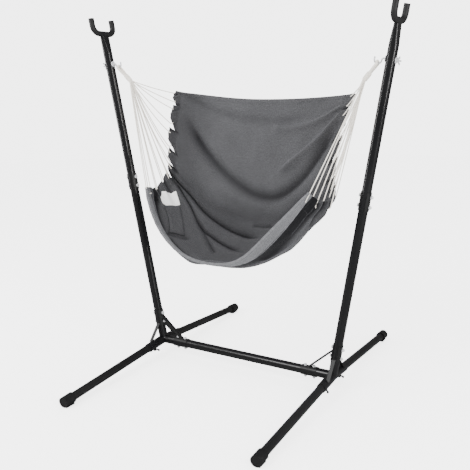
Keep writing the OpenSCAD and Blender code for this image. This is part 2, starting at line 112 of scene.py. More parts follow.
def make_floor():
    """Plain pale round floor, as bright for the camera as the backdrop."""
    turns = [2 * math.pi * k / FLOOR_SIDES for k in range(FLOOR_SIDES)]
    rim = [(FLOOR_RADIUS * math.cos(a), FLOOR_RADIUS * math.sin(a), 0.0) for a in turns]
    faces = [(0, 1 + k, 1 + (k + 1) % FLOOR_SIDES) for k in range(FLOOR_SIDES)]
    mesh = bpy.data.meshes.new("studio_floor")
    mesh.from_pydata([(0.0, 0.0, 0.0)] + rim, [], faces)
    floor = bpy.data.objects.new("studio_floor", mesh)
    SCENE.collection.objects.link(floor)
    material = bpy.data.materials.new("studio_floor")
    material.use_nodes = True
    tree = material.node_tree
    shader = tree.nodes["Principled BSDF"]
    tree.links.new(by_ray(tree, "Is Glossy Ray", FLOOR_TONE, FLAGGED_FLOOR), shader.inputs["Base Color"])
    tree.links.new(by_ray(tree, "Is Camera Ray", 0.0, FLOOR_GLOW), shader.inputs["Emission Strength"])
    shader.inputs["Emission Color"].default_value = (1.0, 1.0, 1.0, 1.0)
    shader.inputs["Roughness"].default_value = 0.75
    shader.inputs["Specular IOR Level"].default_value = 0.2
    mesh.materials.append(material)


# ---------------------------------------------------------------- shape of the cloth

# Side edge of the cloth on the right, from the back top corner to the front corner, in metres
EDGE = np.array([
    (0.451, 0.183, 1.202), (0.436, 0.140, 1.118), (0.427, 0.098, 1.030), (0.421, 0.076, 0.948),
    (0.421, 0.064, 0.872), (0.426, 0.034, 0.822), (0.424, -0.010, 0.796), (0.414, -0.058, 0.792),
    (0.399, -0.105, 0.806),
])
# Middle of the cloth as (y, z), from the top hem to the front hem
MIDDLE = np.array([
    (0.150, 1.176), (0.122, 1.024), (0.092, 0.878), (0.066, 0.756), (0.084, 0.652),
    (0.044, 0.556), (-0.040, 0.492), (-0.130, 0.500), (-0.215, 0.541),
])
BACK_POWER, FRONT_POWER, SAG_POWER = 1.8, 3.6, 2.25
FLAT_WIDTH, FLAT_LENGTH = 1.05, 1.00
TAB_ENDS = np.array((0.0, 0.087, 0.223, 0.348, 0.46, 0.54, 0.64, 0.76, 0.88, 1.0))
TABS = len(TAB_ENDS) - 1
NOTCH = 0.074             # depth of a deep notch between two tabs, as a share of the half width
NOTCH_SHARES = np.array((0.55, 0.90, 1.20, 0.75, 0.80, 0.22, 0.18, 0.30, 0.25))   # each tab's part of it
SLANT_FROM = 0.68         # each tab's free edge slants in beyond this share of its length
NOTCH_FROM = 0.70         # the notches draw in the cloth beyond this share of the half width
FRONT_PULL = np.array((-0.010, -0.012, 0.032))   # pull on the right front corner
FRONT_REACH = ((0.3, 1.0), (0.8, 1.0))           # where it sets in and where it is full, along u and along v
BACK_PULL = np.array((-0.006, 0.0, 0.009))       # pull on the left back corner
BACK_REACH = ((-0.1, 0.7), (0.1, 0.45))          # where it grows along -u, and where it fades along v
HEM_START = 0.945         # where the front hem begins, as a share of the length
HEM_OVERLAP = 0.012       # how far the cloth goes on inside the hem


def along(points, v):
    """Points at v, from 0 to 1, on a smooth curve through the given ones."""
    ends = np.vstack([2 * points[0] - points[1], points, 2 * points[-1] - points[-2]])
    count = len(points) - 1
    s = np.clip(np.asarray(v, float), 0, 1) * count
    i = np.minimum(s.astype(int), count - 1)
    f = (s - i)[..., None]
    a, b, c, d = (ends[i + k] for k in range(4))
    curved = (2 * a - 5 * b + 4 * c - d) * f ** 2 + (3 * b - a - 3 * c + d) * f ** 3
    return 0.5 * (2 * b + (c - a) * f + curved)


def ease(x, a, b):
    """Rises smoothly from 0 at a to 1 at b."""
    t = np.clip((x - a) / (b - a), 0, 1)
    return t * t * (3 - 2 * t)


def hang(u, v):
    """The cloth's middle surface: u from -1 (left) to 1 (right), v from the top hem to the front hem."""
    u, v = np.broadcast_arrays(np.asarray(u, float), np.asarray(v, float))
    edge, middle, t = along(EDGE, v), along(MIDDLE, v), np.abs(u)
    power = BACK_POWER + (FRONT_POWER - BACK_POWER) * v
    y = middle[..., 0] + (edge[..., 1] - middle[..., 0]) * t ** power
    z = middle[..., 1] + (edge[..., 2] - middle[..., 1]) * t ** SAG_POWER
    front = ease(u, *FRONT_REACH[0]) * ease(v, *FRONT_REACH[1])
    back = ease(-u, *BACK_REACH[0]) * (1 - ease(v, *BACK_REACH[1]))
    pulls = front[..., None] * FRONT_PULL + back[..., None] * BACK_PULL
    return np.stack([edge[..., 0] * u, y, z], axis=-1) + pulls


def outward(u, v):
    """Unit normal of the cloth, away from the sitter."""
    h = 0.004
    du = hang(u + h, v) - hang(u - h, v)
    dv = hang(u, np.clip(v + h, 0, 1)) - hang(u, np.clip(v - h, 0, 1))
    n = np.cross(du, dv)
    return n / np.linalg.norm(n, axis=-1, keepdims=True)


make_camera()
make_light()
make_floor()


# ---------------------------------------------------------------- places that the CAD gives

SADDLE = np.array((0.6098, 0.0, 1.3092))     # where the eye loop hangs on the right hook
APEX = np.array((0.556, 0.010, 1.252))       # lower face of the right whipping
WHIP_LENGTH, WHIP_RADIUS = 0.035, 0.010
LOOP_RADIUS = 0.005
LOOP_LEGS = ((0.052, 0.0049), (0.030, 0.0075), (0.015, 0.0093))
LOOP_CROWN = 0.0093
FAN_COLUMNS = (2, 3, 4, 4, 3, 2)             # strands in each column of the fan, from the rear
FAN_PITCH = 0.0034
CORD_SAG = (0.004, 0.010, 0.020, 0.024, 0.016, 0.008, 0.005, 0.004, 0.003)
CORD_DIAMETER = 0.0042
CORD_DEPTH = 0.018                           # how far inside the cloth's edge a cord runs
CORD_BEND, BEND_STEP = 0.0098, 0.0012        # radius of a cord's least bend, and the step along it
CORD_STEP, CORD_SIDES = 0.0022, 12           # distance between a cord's rings, and corners of a ring
CORD_INSIDE = 0.008                          # how far a cord goes on inside the whipping
SLEEVE_TURN = 0.008                          # how much of a sleeve a turn takes at each end, as a share of v
TAB_SPREAD = 0.6                             # gap between a tab's two cords, as a share of the tab


def unit(a):
    return a / np.linalg.norm(a)


DOWN_CORD = unit(APEX - SADDLE)
ACROSS_CORD = unit(np.array((0.0, 1.0, 0.0)) - DOWN_CORD[1] * DOWN_CORD)
BESIDE_CORD = np.cross(DOWN_CORD, ACROSS_CORD)


# ---------------------------------------------------------------- making meshes

def mesh_piece(name, points, faces, material, body, uvs=None, shade=None):
    """A smooth mesh object that rides on a body. uvs and shade hold one entry for each point."""
    mesh = bpy.data.meshes.new(name)
    mesh.from_pydata([tuple(p) for p in points], [], [tuple(f) for f in faces])
    mesh.polygons.foreach_set("use_smooth", [True] * len(mesh.polygons))
    if uvs is not None:
        corner = np.zeros(len(mesh.loops), int)
        mesh.loops.foreach_get("vertex_index", corner)
        layer = mesh.uv_layers.new(name="cut")
        layer.data.foreach_set("uv", np.asarray(uvs, float)[corner].ravel())
    # shade is darkening put into the colour: painted shade in folds, gaps and at a patch's rim, and the
    # darker tone of stitch threads
    if shade is not None:
        depth = mesh.attributes.new("painted_shade_and_thread_tone", "FLOAT", "POINT")
        depth.data.foreach_set("value", np.asarray(shade, float))
    mesh.materials.append(material)
    mesh.validate()
    mesh.update()
    piece = bpy.data.objects.new(name, mesh)
    SCENE.collection.objects.link(piece)
    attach(piece, body)
    return piece


def ring_faces(rings, sides, first=0):
    """Quads between rings that follow each other, and a cap on the first and the last ring."""
    faces = []
    for i in range(rings - 1):
        for k in range(sides):
            a, b = first + i * sides + k, first + i * sides + (k + 1) % sides
            faces.append((a, b, b + sides, a + sides))
    faces.append(tuple(range(first + sides - 1, first - 1, -1)))
    last = first + (rings - 1) * sides
    faces.append(tuple(range(last, last + sides)))
    return faces


def swept(route, radius, sides):
    """Points of a tube round a route. radius(angles, distance) gives the radius at each angle."""
    route = np.asarray(route, float)
    steps = np.gradient(route, axis=0)
    steps /= np.linalg.norm(steps, axis=1, keepdims=True)
    distance = np.concatenate([[0], np.cumsum(np.linalg.norm(np.diff(route, axis=0), axis=1))])
    angles = np.linspace(0, 2 * math.pi, sides, endpoint=False)
    aside = unit(np.cross(steps[0], (0.3, 0.1, 0.9)))
    points = []
    for place, step, far in zip(route, steps, distance):
        aside = unit(aside - (aside @ step) * step)
        other = np.cross(step, aside)
        r = radius(angles, far)[:, None]
        points.append(place + r * (np.cos(angles)[:, None] * aside + np.sin(angles)[:, None] * other))
    return np.concatenate(points)


def even(route, step):
    """The same line with points about step apart."""
    far = np.concatenate([[0], np.cumsum(np.linalg.norm(np.diff(route, axis=0), axis=1))])
    at = np.linspace(0, far[-1], max(2, math.ceil(far[-1] / step) + 1))
    return np.stack([np.interp(at, far, route[:, k]) for k in range(3)], axis=1)


# ---------------------------------------------------------------- nodes of the materials

class Shader:
    """A new material and short ways to add and link its nodes."""

    def __init__(self, name):
        self.material = bpy.data.materials.new(name)
        self.material.use_nodes = True
        self.tree = self.material.node_tree
        self.out = self.tree.nodes["Principled BSDF"]

    def set(self, **values):
        for key, value in values.items():
            self.out.inputs[key.replace("_", " ")].default_value = value

    def add(self, kind, links=(), **settings):
        node = self.tree.nodes.new(kind)
        for key, value in settings.items():
            if key in node.inputs:
                node.inputs[key].default_value = value
            else:
                setattr(node, key, value)
        for socket, source in dict(links).items():
            self.tree.links.new(source, node.inputs[socket])
        return node

    def link(self, source, socket):
        self.tree.links.new(source, self.out.inputs[socket])

    def math(self, operation, a, b=None):
        node = self.tree.nodes.new("ShaderNodeMath")
        node.operation = operation
        for socket, value in zip(node.inputs, (a, b)):
            if isinstance(value, bpy.types.NodeSocket):
                self.tree.links.new(value, socket)
            elif value is not None:
                socket.default_value = value
        return node.outputs[0]

    def place(self, stretch=(1.0, 1.0, 1.0), cut=False):
        """Object coordinates in metres, or the flat cut's own coordinates, stretched."""
        source = self.add("ShaderNodeTexCoord").outputs["UV" if cut else "Object"]
        mapping = self.add("ShaderNodeMapping", {"Vector": source})
        mapping.inputs["Scale"].default_value = stretch
        return mapping.outputs[0]

    def noise(self, where, scale, detail=3.0, rough=0.55):
        node = self.add("ShaderNodeTexNoise", {"Vector": where})
        node.inputs["Scale"].default_value = scale
        node.inputs["Detail"].default_value = detail
        node.inputs["Roughness"].default_value = rough
        return node.outputs[0]

    def ramp(self, source, stops):
        """Colour or grey from a value. stops are (position, grey or colour)."""
        node = self.add("ShaderNodeValToRGB", {"Fac": source})
        points = node.color_ramp.elements
        while len(points) < len(stops):
            points.new(0.5)
        for point, (position, tone) in zip(points, stops):
            point.position = position
            point.color = (*tone, 1.0) if isinstance(tone, tuple) else (tone, tone, tone, 1.0)
        return node.outputs[0]

    def mix(self, factor, a, b, blend="MIX"):
        node = self.add("ShaderNodeMix", data_type="RGBA", blend_type=blend)
        for socket, value in ((node.inputs[0], factor), (node.inputs[6], a), (node.inputs[7], b)):
            if isinstance(value, bpy.types.NodeSocket):
                self.tree.links.new(value, socket)
            elif isinstance(value, tuple):
                socket.default_value = (*value, 1.0)
            else:
                socket.default_value = value
        return node.outputs[2]

    def bump(self, height, strength, distance, under=None):
        node = self.add("ShaderNodeBump", {"Height": height})
        node.inputs["Strength"].default_value = strength
        node.inputs["Distance"].default_value = distance
        if under is not None:
            self.tree.links.new(under, node.inputs["Normal"])
        return node.outputs[0]


def paint(name, tones, roughness, peel, scuffs):
    """Powder coat: orange peel, cloudy roughness, dust in patches and a few pale scuffs."""
    s = Shader(name)
    where = s.place()
    cloud = s.noise(where, 7.0, 4.0)
    s.link(s.ramp(cloud, ((0.32, roughness[0]), (0.70, roughness[1]))), "Roughness")
    colour = s.mix(s.ramp(s.noise(where, 3.0, 5.0), ((0.40, 0.0), (0.72, 1.0))), tones[0], tones[1])
    scratch = s.noise(s.place((420.0, 420.0, 36.0)), 1.0, 2.0, 0.7)
    colour = s.mix(s.ramp(scratch, ((scuffs, 0.0), (scuffs + 0.03, 0.35))), colour, (0.05, 0.05, 0.053))
    s.link(colour, "Base Color")
    fine = s.bump(s.noise(where, 900.0, 2.0), peel, 0.0004)
    s.link(s.bump(s.noise(where, 90.0, 2.0), 0.12, 0.0006, fine), "Normal")
    s.set(Specular_IOR_Level=0.5, Coat_Weight=0.08, Coat_Roughness=0.20)
    return s.material


def moulded_plastic():
    """Black moulded plastic with fine spark-eroded texture and pale rubbed spots."""
    s = Shader("black_plastic")
    where = s.place()
    s.link(s.ramp(s.noise(where, 30.0, 4.0), ((0.3, 0.42), (0.75, 0.62))), "Roughness")
    rub = s.ramp(s.noise(where, 60.0, 5.0), ((0.58, 0.0), (0.80, 1.0)))
    s.link(s.mix(rub, (0.006, 0.006, 0.0066), (0.017, 0.017, 0.018)), "Base Color")
    s.link(s.bump(s.noise(where, 1600.0, 2.0), 0.22, 0.0004), "Normal")
    s.set(Specular_IOR_Level=0.4)
    return s.material


def rubber_coat():
    """Dipped rubber on the cradles: pebbled, with softer gloss than the paint."""
    s = Shader("cradle_coat")
    where = s.place()
    s.link(s.ramp(s.noise(where, 22.0, 4.0), ((0.3, 0.46), (0.7, 0.66))), "Roughness")
    s.link(s.mix(s.noise(where, 9.0, 4.0), (0.005, 0.005, 0.0056), (0.012, 0.012, 0.013)), "Base Color")
    pebble = s.add("ShaderNodeTexVoronoi", {"Vector": where}, Scale=700.0).outputs["Distance"]
    s.link(s.bump(pebble, 0.35, 0.0005), "Normal")
    return s.material


def zinc():
    """Bright zinc plate with cloudy spangle, turning marks and dull spots."""
    s = Shader("zinc")
    where = s.place()
    cloud = s.noise(where, 120.0, 4.0)
    s.link(s.ramp(cloud, ((0.30, 0.20), (0.72, 0.44))), "Roughness")
    tone = s.mix(cloud, (0.60, 0.61, 0.63), (0.86, 0.86, 0.87))
    dull = s.ramp(s.noise(where, 260.0, 5.0), ((0.60, 0.0), (0.76, 1.0)))
    s.link(s.mix(dull, tone, (0.40, 0.39, 0.37)), "Base Color")
    s.link(s.bump(s.noise(s.place((300.0, 2400.0, 2400.0)), 1.0, 2.0), 0.18, 0.0003), "Normal")
    s.set(Metallic=0.45)
    return s.material


def woven(name, dark, light, pitch, shine, lift):
    """Plain weave of heather yarn in the cut's own coordinates, in metres, with painted shade deep in a fold.
    """
    s = Shader(name)
    cut = s.place(cut=True)
    parts = s.add("ShaderNodeSeparateXYZ", {"Vector": cut})
    wave = [s.math("SINE", s.math("MULTIPLY", parts.outputs[k], math.pi / pitch)) for k in (0, 1)]
    weave = s.math("MULTIPLY", wave[0], wave[1])
    warp = s.noise(s.place((1.0, 12.0, 1.0), cut=True), 700.0, 2.0, 0.6)
    weft = s.noise(s.place((12.0, 1.0, 1.0), cut=True), 700.0, 2.0, 0.6)
    yarn = s.math("MULTIPLY", s.math("ADD", warp, weft), 0.5)
    colour = s.mix(s.ramp(yarn, ((0.36, 0.0), (0.64, 1.0))), dark, light)
    gap = s.ramp(s.math("ADD", s.math("MULTIPLY", weave, 0.5), 0.5), ((0.0, 0.80), (0.5, 1.0)))
    colour = s.mix(0.55, colour, gap, "MULTIPLY")
    patch = s.ramp(s.noise(cut, 9.0, 5.0), ((0.30, 0.90), (0.70, 1.07)))
    colour = s.mix(1.0, colour, patch, "MULTIPLY")
    speck = s.ramp(s.noise(cut, 210.0, 2.0), ((0.38, 0.80), (0.62, 1.18)))
    colour = s.mix(1.0, colour, speck, "MULTIPLY")
    slub = s.ramp(s.noise(s.place((1.0, 26.0, 1.0), cut=True), 34.0, 3.0), ((0.36, 0.90), (0.64, 1.08)))
    colour = s.mix(1.0, colour, slub, "MULTIPLY")
    # Painted shade: the colour goes towards near black where the mesh's painted shade value is high
    depth = s.add("ShaderNodeAttribute", attribute_name="painted_shade_and_thread_tone").outputs["Fac"]
    colour = s.mix(s.math("MULTIPLY", depth, 0.93), colour, (0.004, 0.004, 0.005))
    s.link(colour, "Base Color")
    s.link(s.ramp(yarn, ((0.3, 0.80), (0.7, 0.94))), "Roughness")
    threads = s.bump(weave, lift, 0.0005)
    s.link(s.bump(s.noise(cut, 160.0, 4.0), 0.30, 0.0012, threads), "Normal")
    s.set(Sheen_Weight=shine, Sheen_Roughness=0.45, Specular_IOR_Level=0.18)
    s.set(Sheen_Tint=(0.86, 0.87, 0.92, 1.0))
    return s.material


def satin_label():
    """Off-white label tape with a fine rib and slight soiling."""
    s = Shader("label")
    cut = s.place(cut=True)
    rib = s.math("SINE", s.math("MULTIPLY", s.add("ShaderNodeSeparateXYZ", {"Vector": cut}).outputs[1],
                                math.pi / 0.0005))
    s.link(s.mix(s.noise(cut, 60.0, 4.0), (0.88, 0.88, 0.87), (0.96, 0.96, 0.95)), "Base Color")
    s.link(s.ramp(s.noise(cut, 200.0, 3.0), ((0.3, 0.50), (0.7, 0.68))), "Roughness")
    s.link(s.bump(rib, 0.25, 0.0003), "Normal")
    s.set(Sheen_Weight=0.1)
    return s.material


def cotton_cord():
    """Unbleached cotton: soft fibres, slight yellowing and grey dust."""
    s = Shader("cord")
    where = s.place()
    tone = s.mix(s.noise(where, 14.0, 5.0), (0.72, 0.665, 0.585), (0.86, 0.825, 0.765))
    fibre = s.noise(where, 1500.0, 3.0, 0.7)
    s.link(s.mix(s.ramp(fibre, ((0.35, 0.25), (0.6, 0.0))), tone, (0.55, 0.52, 0.47)), "Base Color")
    s.link(s.ramp(fibre, ((0.3, 0.82), (0.7, 0.95))), "Roughness")
    s.link(s.bump(fibre, 0.4, 0.0004), "Normal")
    s.set(Sheen_Weight=0.25, Sheen_Roughness=0.5, Specular_IOR_Level=0.2)
    return s.material


POST_TONES = ((0.0035, 0.0035, 0.0042), (0.0065, 0.0065, 0.0072))
FOOT_TONES = ((0.0045, 0.0045, 0.0050), (0.0085, 0.0085, 0.0090))
PLATE_TONES = ((0.0040, 0.0040, 0.0045), (0.0075, 0.0075, 0.0080))
POST_PAINT = paint("post_paint", POST_TONES, roughness=(0.22, 0.33), peel=0.10, scuffs=0.74)
FOOT_PAINT = paint("foot_paint", FOOT_TONES, roughness=(0.36, 0.52), peel=0.16, scuffs=0.73)
PLATE_PAINT = paint("plate_paint", PLATE_TONES, roughness=(0.44, 0.60), peel=0.14, scuffs=0.70)
BLACK_PLASTIC = moulded_plastic()
CRADLE_COAT = rubber_coat()
ZINC = zinc()
CLOTH = woven("cloth", (0.034, 0.034, 0.0365), (0.083, 0.083, 0.088), 0.0011, 0.12, 0.55)
# Painted light: the hem band is the same cloth made about twice as light, standing in for the light falling
# on the band
LIT_HEM_CLOTH = woven("hem_cloth", (0.072, 0.0725, 0.077), (0.160, 0.161, 0.169), 0.0011, 0.20, 0.60)
LABEL = satin_label()
CORD = cotton_cord()

# Each finish and the ends of the names of the CAD nodes that take it
FINISHES = (
    (ZINC, ("bolts", "nuts", "hook", "washers", "wing_nut")),
    (BLACK_PLASTIC, ("cap", "knob")),
    (CRADLE_COAT, ("cradle",)),
    (PLATE_PAINT, ("splice", "brace", "plate", "gussets")),
    (FOOT_PAINT, ("foot",)),
    (POST_PAINT, ("post", "hub", "bar")),
)


def finish_of(node):
    """The finish of a CAD node. The soft nodes are replaced, and take the cloth's."""
    for material, endings in FINISHES:
        if node.endswith(endings):
            return material
    return CLOTH


def finish_stand():
    for name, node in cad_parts.items():
        for place in node.material_slots:
            place.material = finish_of(name)


# ---------------------------------------------------------------- cords

def rope(radius, pitch, yarns, depth):
    """Radius of a laid rope of a few yarns, for swept()."""
    def at(angles, distance):
        turn = yarns / 2 * (angles - 2 * math.pi * distance / pitch)
        return radius * (1 - depth + depth * np.abs(np.cos(turn)))
    return at


def strand_start(j):
    """Where strand j leaves the lower face of the right whipping."""
    column, first = 0, 0
    while first + FAN_COLUMNS[column] <= j:
        first += FAN_COLUMNS[column]
        column += 1
    row, rows = j - first, FAN_COLUMNS[column]
    rearward = FAN_PITCH * ((len(FAN_COLUMNS) - 1) / 2 - column)
    return APEX + ACROSS_CORD * rearward + BESIDE_CORD * FAN_PITCH * (row - (rows - 1) / 2)


def strand_v(j):
    """Where strand j meets the side edge, as a share of the edge's length."""
    start, end = TAB_ENDS[j // 2], TAB_ENDS[j // 2 + 1]
    return start + (0.5 + (j % 2 - 0.5) * TAB_SPREAD) * (end - start)


def bend_towards(place, heading, target, sag):
    """Points that turn from a heading, on the cord's least bend, towards the sagging line to target."""
    angle = BEND_STEP / CORD_BEND
    points = [place]
    while True:
        aim = unit(target - points[-1] - np.array((0, 0, 4 * sag)))
        if heading @ aim > math.cos(angle):
            return points
        aside = unit(aim - (aim @ heading) * heading)
        heading = heading * math.cos(angle) + aside * math.sin(angle)
        points.append(points[-1] + BEND_STEP * heading)


def tab_cord_leg(start, place, heading, sag):
    """From the whipping to a sleeve's end at place, where the cord leaves the sleeve with a heading."""
    lower = bend_towards(place, heading, start, sag)
    upper = bend_towards(start, DOWN_CORD, lower[-1], sag)
    a, b = upper[-1], lower[-1]
    f = np.linspace(0, 1, 27)[1:-1, None]
    free = a + (b - a) * f - np.array((0, 0, 4 * sag)) * f * (1 - f)
    return np.vstack([[start - CORD_INSIDE * DOWN_CORD], upper, free, lower[::-1]])


def tab_cord_route(side, tab):
    """From the whipping to the upper end of a tab, through its sleeve and back to the whipping."""
    mirror = np.array((side, 1, 1))
    low, high = strand_v(2 * tab) + SLEEVE_TURN, strand_v(2 * tab + 1) - SLEEVE_TURN
    samples = cloth_point(side * (1 - CORD_DEPTH / ACROSS), np.linspace(low, high, 25), 0.0)[0] * mirror
    sleeve = along(samples.reshape(5, 5, 3).mean(axis=1), np.linspace(0, 1, 17))
    first = tab_cord_leg(strand_start(2 * tab), sleeve[0], unit(sleeve[0] - sleeve[1]), CORD_SAG[tab])
    last = tab_cord_leg(strand_start(2 * tab + 1), sleeve[-1], unit(sleeve[-1] - sleeve[-2]), CORD_SAG[tab])
    return even(np.vstack([first, sleeve[1:-1], last[::-1]]) * mirror, CORD_STEP)


def make_tab_cord(side, word, tab):
    """A cord of three laid yarns, up and down between the whipping and one tab."""
    route = tab_cord_route(side, tab)
    points = swept(route, rope(CORD_DIAMETER / 2, pitch=0.013, yarns=3, depth=0.16), CORD_SIDES)
    name = f"{word}_tab_cord_{tab + 1}"
    cord = mesh_piece(name, points, ring_faces(len(route), CORD_SIDES), CORD, "hammock")
    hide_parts(f"{word}_cord_fan")
    tuple(strand_start(2 * tab) * (side, 1, 1))


def make_eye_loop(side, word):
    """The cords gathered into one bundle that goes over the hook and back into the whipping."""
    rising = [SADDLE + down * DOWN_CORD + out * ACROSS_CORD for down, out in LOOP_LEGS]
    falling = [SADDLE + down * DOWN_CORD - out * ACROSS_CORD for down, out in LOOP_LEGS[::-1]]
    over = [SADDLE + LOOP_CROWN * np.array((0, math.sin(t), math.cos(t)))
            for t in (math.radians(a) for a in (90, 45, 0, -45, -90))]
    rough = along(np.array(rising + over + falling), np.linspace(0, 1, 121))
    mirror = np.array((side, 1, 1))
    route = even(rough * mirror, 0.0012)
    sides = 36
    points = swept(route, rope(LOOP_RADIUS, pitch=0.05, yarns=9, depth=0.13), sides)
    loop = mesh_piece(f"{word}_loop", points, ring_faces(len(route), sides), CORD, "hammock")
    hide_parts(f"{word}_eye_loop")


def make_whipping(side, word):
    """Thread wound tightly round the neck of the bundle."""
    pitch, lift, sides, rings = 0.0021, 0.0006, 48, 120
    mirror = np.array((side, 1, 1))
    f = np.linspace(0, 1, rings)[:, None]
    route = (APEX + (f - 1) * WHIP_LENGTH * DOWN_CORD) * mirror

    def radius(angles, distance):
        share = distance / WHIP_LENGTH
        barrel = WHIP_RADIUS * (0.90 + 0.06 * math.sin(math.pi * share))
        rounding = 0.0024 * (max(0.0, 1 - share * 14) ** 2 + max(0.0, share * 14 - 13) ** 2)
        turn = math.pi * distance / pitch - angles / 2
        return barrel - rounding + lift * np.abs(np.sin(turn))

    points = swept(route, radius, sides)
    faces = ring_faces(rings, sides)
    whipping = mesh_piece(f"{word}_whipping_thread", points, faces, CORD, "hammock")
    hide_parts(f"{word}_whipping")


# ---------------------------------------------------------------- folds of the cloth

ACROSS, DOWN = 0.44, 0.90      # metres for one unit of u and of v, near the middle of the cloth
TOP_HEM = 0.016                # width of the folded top hem in metres
SLEEVE = 0.038                 # width of the cord sleeves in metres
CLOTH_HALF = 0.0009            # half the cloth's thickness

# Folds as seen by the sitter: points (u, v) from left to right, depth in metres (below zero for a ridge),
# width above and below the line in metres, sharpness, and how strongly painted shade darkens the bottom of
# the fold
FOLDS = (
    (((-0.93, 0.085), (-0.74, 0.157), (-0.578, 0.214), (-0.39, 0.263), (-0.134, 0.314), (0.111, 0.359),
      (0.357, 0.376), (0.583, 0.331), (0.749, 0.252), (0.851, 0.189), (0.98, 0.12)),
     0.024, 0.030, 0.030, 2.0, 0.70),
    (((-0.95, -0.01), (-0.80, 0.017), (-0.546, 0.044), (-0.265, 0.063), (0.03, 0.071), (0.338, 0.076),
      (0.70, 0.070)), 0.007, 0.016, 0.022, 2.0, 0.22),
    (((-1.15, 0.500), (-1.00, 0.515), (-0.87, 0.522), (-0.741, 0.523), (-0.562, 0.547), (-0.35, 0.560),
      (-0.172, 0.571), (0.021, 0.581), (0.25, 0.575)), 0.018, 0.020, 0.007, 1.5, 1.0),
    (((-0.93, 0.530), (-0.849, 0.544), (-0.70, 0.577), (-0.546, 0.631), (-0.364, 0.642), (-0.183, 0.652),
      (0.10, 0.671)), 0.014, 0.009, 0.010, 1.5, 1.0),
    (((-0.60, 0.600), (-0.403, 0.673), (-0.26, 0.715)), 0.010, 0.008, 0.016, 1.5, 0.70),
    (((0.04, 0.521), (0.16, 0.525), (0.30, 0.529)), 0.005, 0.009, 0.007, 1.5, 0.40),
    (((0.20, 0.095), (0.422, 0.104), (0.708, 0.098), (1.02, 0.045)), -0.014, 0.010, 0.015, 1.6, 0.0),
    (((0.30, 0.270), (0.514, 0.224), (0.667, 0.195), (0.806, 0.155), (1.02, 0.060)),
     -0.017, 0.012, 0.020, 1.6, 0.0),
    (((-0.60, 0.40), (-0.25, 0.45), (0.10, 0.475), (0.45, 0.465), (0.75, 0.40)),
     -0.010, 0.050, 0.050, 2.0, 0.0),
    (((-0.715, 0.915), (-0.655, 0.865), (-0.60, 0.79), (-0.565, 0.72)), 0.007, 0.012, 0.012, 1.6, 0.55),
    (((0.35, 0.87), (0.65, 0.83), (0.85, 0.78), (1.05, 0.69)), 0.009, 0.012, 0.014, 1.6, 0.0),
    (((0.50, 0.76), (0.75, 0.72), (0.90, 0.66), (1.05, 0.55)), 0.008, 0.012, 0.014, 1.6, 0.0),
)
# Folds under the front hem: the first lies inside on the left, the second outside on the right
# Both gaps are darkened with painted shade, at full strength at their bottom
INNER_GAP = (((-1.25, 0.80), (-1.02, 0.83), (-0.93, 0.875), (-0.85, 0.905), (-0.72, 0.922), (-0.55, 0.922),
              (-0.30, 0.915), (0.05, 0.91)), 0.018, 0.034, 0.014, 1.8, 1.0)
OUTER_GAP = (((-0.35, 0.945), (0.05, 0.935), (0.40, 0.925), (0.70, 0.922), (0.92, 0.925), (1.05, 0.93)),
             -0.022, 0.074, 0.016, 2.4, 1.0)
# Pleats that run in from the right tabs, seen from outside
# Their last column is painted shade in the bottom of each pleat on the outer face
OUTER_PLEATS = (
    (((1.02, 0.865), (0.93, 0.862), (0.84, 0.857), (0.72, 0.850)), -0.009, 0.009, 0.011, 1.6, 0.60),
    (((1.02, 0.805), (0.93, 0.797), (0.82, 0.790)), -0.008, 0.009, 0.011, 1.6, 0.60),
    (((1.02, 0.745), (0.93, 0.733), (0.85, 0.728)), -0.007, 0.008, 0.010, 1.6, 0.55),
)
FADE = 0.16                    # share of a fold over which each end dies out


def profile(u, v, fold):
    """How strongly a fold shows at each point, from 0 to 1."""
    points, _, above, below, sharpness, _ = fold
    p = np.stack([u * ACROSS, v * DOWN], axis=-1)
    count = 5 * (len(points) - 1)
    line = along(np.array(points) * (ACROSS, DOWN), np.linspace(0, 1, count + 1))
    best = np.full(u.shape, np.inf)
    under = np.zeros(u.shape)
    place = np.zeros(u.shape)
    for i in range(count):
        step = line[i + 1] - line[i]
        t = np.clip(((p - line[i]) @ step) / (step @ step), 0, 1)
        off = p - line[i] - t[..., None] * step
        far = np.linalg.norm(off, axis=-1)
        closer = far < best
        best = np.where(closer, far, best)
        under = np.where(closer, step[0] * off[..., 1] - step[1] * off[..., 0], under)
        place = np.where(closer, (i + t) / count, place)
    end = np.clip(np.minimum(place, 1 - place) / FADE, 0, 1)
    width = np.where(under > 0, below, above)
    return end * end * (3 - 2 * end) * np.exp(-(best / width) ** sharpness)


def ripple(u, v, size, stretch, seed):
    """Smooth noise over the cloth, about -1 to 1, with waves size metres long and stretched across."""
    x, y = u * ACROSS / size / stretch, v * DOWN / size
    flat = [noise.noise(Vector((a, b, seed))) for a, b in zip(x.ravel(), y.ravel())]
    return np.array(flat).reshape(x.shape) * 1.6


def tab_place(v):
    """The number of the tab at v plus how far along it v lies."""
    return np.interp(v, TAB_ENDS, np.arange(TABS + 1))


def edge_inset(v):
    """Sawtooth edge: each tab starts square and slants in to the next notch."""
    v = np.asarray(v, float)
    place = np.minimum(tab_place(v), TABS - 0.001)
    tab = np.floor(place)
    f = place - tab
    slant = np.clip((f - SLANT_FROM) / (1 - SLANT_FROM), 0, 1)
    square = np.clip(1 - f / 0.045, 0, 1) * (tab > 0)
    depth = NOTCH_SHARES[tab.astype(int)]
    depth_before = NOTCH_SHARES[np.maximum(tab.astype(int) - 1, 0)]
    return NOTCH * np.maximum(depth * slant, depth_before * square)


